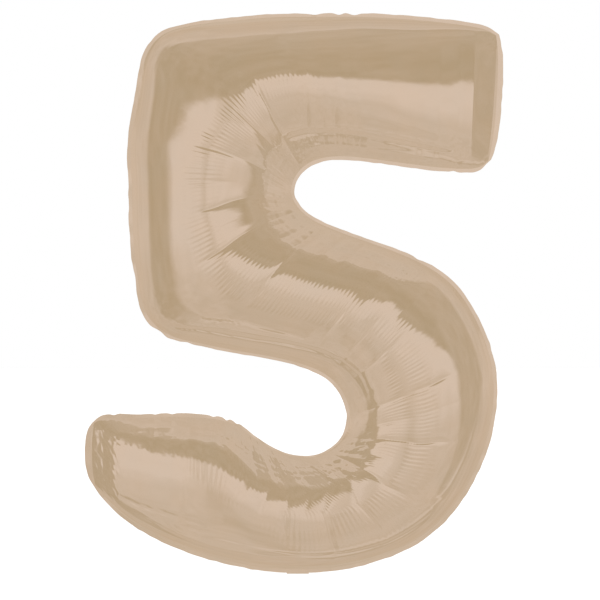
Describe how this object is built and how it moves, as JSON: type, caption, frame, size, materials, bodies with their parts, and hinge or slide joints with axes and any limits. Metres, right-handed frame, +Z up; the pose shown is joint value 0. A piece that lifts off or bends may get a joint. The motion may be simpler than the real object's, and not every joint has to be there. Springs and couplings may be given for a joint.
{
  "type": "foil number balloon",
  "caption": "Inflated foil balloon in the shape of the digit five, with a welded border, an internal self-sealing valve and a filling tail that folds behind the neck.",
  "frame": {"origin": "on the fold line of the neck at the balloon's lowest edge, where a ribbon is tied and about which the filling tail folds", "axes": "+Z up through the standing digit, -Y out of the front face that reads as a five, +X to the right as it is read"},
  "size_m": [0.6457, 0.2, 0.866],
  "materials": {
    "foil_front": "champagne metallised film, bright and smooth",
    "foil_back": "champagne metallised film, bright and smooth",
    "valve_film": "clear soft film",
    "release_coat": "matt printed coat"
  },
  "bodies": {
    "balloon": {"front_panel": "foil_front", "back_panel": "foil_back", "valve_front_film": "valve_film", "valve_back_film": "valve_film", "valve_release_coat": "release_coat"},
    "tail": {"tail_front_film": "foil_front", "tail_back_film": "foil_back"}
  },
  "joints": [
    {"name": "tail_fold", "type": "hinge", "parent": "balloon", "child": "tail", "pos_m": [0, 0, 0], "axis": [-1, 0, 0], "range_deg": [0, 105]}
  ]
}
